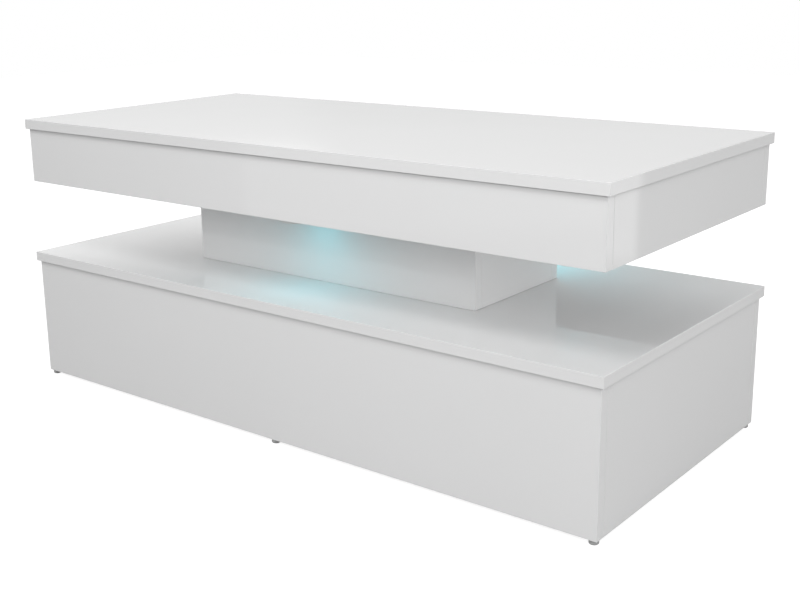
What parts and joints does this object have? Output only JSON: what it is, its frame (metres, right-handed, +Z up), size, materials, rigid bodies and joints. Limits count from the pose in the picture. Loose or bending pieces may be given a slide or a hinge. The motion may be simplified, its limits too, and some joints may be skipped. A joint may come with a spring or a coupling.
{
  "type": "lift top coffee table",
  "caption": "White high-gloss coffee table: closed plinth, narrow pedestal and a shallow storage box whose lid lifts up and forward on spring-assisted arms.",
  "frame": {"origin": "on the floor, under the centre of the table", "axes": "+X along the table, to the right of a person sitting at its front; -Y towards that person; +Z up"},
  "size_m": [1.1, 0.5, 0.453],
  "materials": {
    "white_gloss_board": "white high-gloss lacquered particle board",
    "black_coated_steel": "satin black powder coat",
    "zinc_plated_steel": "bright zinc plating",
    "grey_plastic_glide": "plain moulded plastic",
    "rubber_bumper": "translucent grey silicone",
    "white_plastic_housing": "satin moulded plastic",
    "cyan_light_lens": "frosted lens, lit cyan",
    "green_circuit_board": "solder-masked circuit board",
    "battery_wrap": "shrink-wrapped cells"
  },
  "bodies": {
    "frame": {"box_front_panel": "white_gloss_board", "box_back_panel": "white_gloss_board", "box_left_side": "white_gloss_board", "box_right_side": "white_gloss_board", "box_floor": "white_gloss_board", "pedestal_front_panel": "white_gloss_board", "pedestal_back_panel": "white_gloss_board", "pedestal_left_side": "white_gloss_board", "pedestal_right_side": "white_gloss_board", "pedestal_divider": "white_gloss_board", "plinth_top": "white_gloss_board", "plinth_front_panel": "white_gloss_board", "plinth_back_panel": "white_gloss_board", "plinth_left_side": "white_gloss_board", "plinth_right_side": "white_gloss_board", "plinth_divider": "white_gloss_board", "plinth_floor": "white_gloss_board", "base_bracket_left": "black_coated_steel", "base_bracket_right": "black_coated_steel", "base_front_pin_left": "zinc_plated_steel", "base_front_pin_right": "zinc_plated_steel", "base_rear_pin_left": "zinc_plated_steel", "base_rear_pin_right": "zinc_plated_steel", "spring_anchor_left": "zinc_plated_steel", "spring_anchor_right": "zinc_plated_steel", "glide_front_left": "grey_plastic_glide", "glide_front_middle": "grey_plastic_glide", "glide_front_right": "grey_plastic_glide", "glide_back_left": "grey_plastic_glide", "glide_back_middle": "grey_plastic_glide", "glide_back_right": "grey_plastic_glide", "lid_bumper_front_left": "rubber_bumper", "lid_bumper_front_right": "rubber_bumper", "lid_bumper_back_left": "rubber_bumper", "lid_bumper_back_right": "rubber_bumper", "light_housing_front": "white_plastic_housing", "light_housing_back": "white_plastic_housing", "light_lens_front": "cyan_light_lens", "light_lens_back": "cyan_light_lens", "light_circuit_front": "green_circuit_board", "light_circuit_back": "green_circuit_board", "light_battery_front": "battery_wrap", "light_battery_back": "battery_wrap"},
    "front_arms": {"front_arm_left": "black_coated_steel", "front_arm_right": "black_coated_steel", "sync_bar": "black_coated_steel", "spring_stud_left": "zinc_plated_steel", "spring_stud_right": "zinc_plated_steel"},
    "rear_arm_left": {"rear_arm_left": "black_coated_steel"},
    "rear_arm_right": {"rear_arm_right": "black_coated_steel"},
    "lid": {"lid_top": "white_gloss_board", "lid_bracket_left": "black_coated_steel", "lid_bracket_right": "black_coated_steel", "lid_front_pin_left": "zinc_plated_steel", "lid_front_pin_right": "zinc_plated_steel", "lid_rear_pin_left": "zinc_plated_steel", "lid_rear_pin_right": "zinc_plated_steel"},
    "spring_left": {"spring_left": "zinc_plated_steel"},
    "spring_right": {"spring_right": "zinc_plated_steel"}
  },
  "joints": [
    {"name": "lift", "type": "hinge", "parent": "frame", "child": "front_arms", "pos_m": [0, -0.12, 0.406], "axis": [1, 0, 0], "range_deg": [0, 118], "deforming": ["spring_left", "spring_right"]},
    {"name": "lid_pivot", "type": "hinge", "parent": "front_arms", "child": "lid", "pos_m": [0, 0.06954, 0.41925], "axis": [1, 0, 0], "range_deg": [-118, 0]},
    {"name": "rear_arm_left_pivot", "type": "hinge", "parent": "frame", "child": "rear_arm_left", "pos_m": [0, -0.067, 0.379], "axis": [1, 0, 0], "range_deg": [0, 118]},
    {"name": "rear_arm_right_pivot", "type": "hinge", "parent": "frame", "child": "rear_arm_right", "pos_m": [0, -0.067, 0.379], "axis": [1, 0, 0], "range_deg": [0, 118]},
    {"name": "spring_left_pivot", "type": "hinge", "parent": "frame", "child": "spring_left", "pos_m": [0, -0.20479, 0.41193], "axis": [1, 0, 0], "range_deg": [0, 59]},
    {"name": "spring_right_pivot", "type": "hinge", "parent": "frame", "child": "spring_right", "pos_m": [0, -0.20479, 0.41193], "axis": [1, 0, 0], "range_deg": [0, 59]}
  ],
  "couplings": [
    {"joint": "lid_pivot", "follows": "lift", "ratio": -1},
    {"joint": "rear_arm_left_pivot", "follows": "lift", "ratio": 1},
    {"joint": "rear_arm_right_pivot", "follows": "lift", "ratio": 1},
    {"joint": "spring_left_pivot", "follows": "lift", "ratio": 0.5},
    {"joint": "spring_right_pivot", "follows": "lift", "ratio": 0.5}
  ]
}
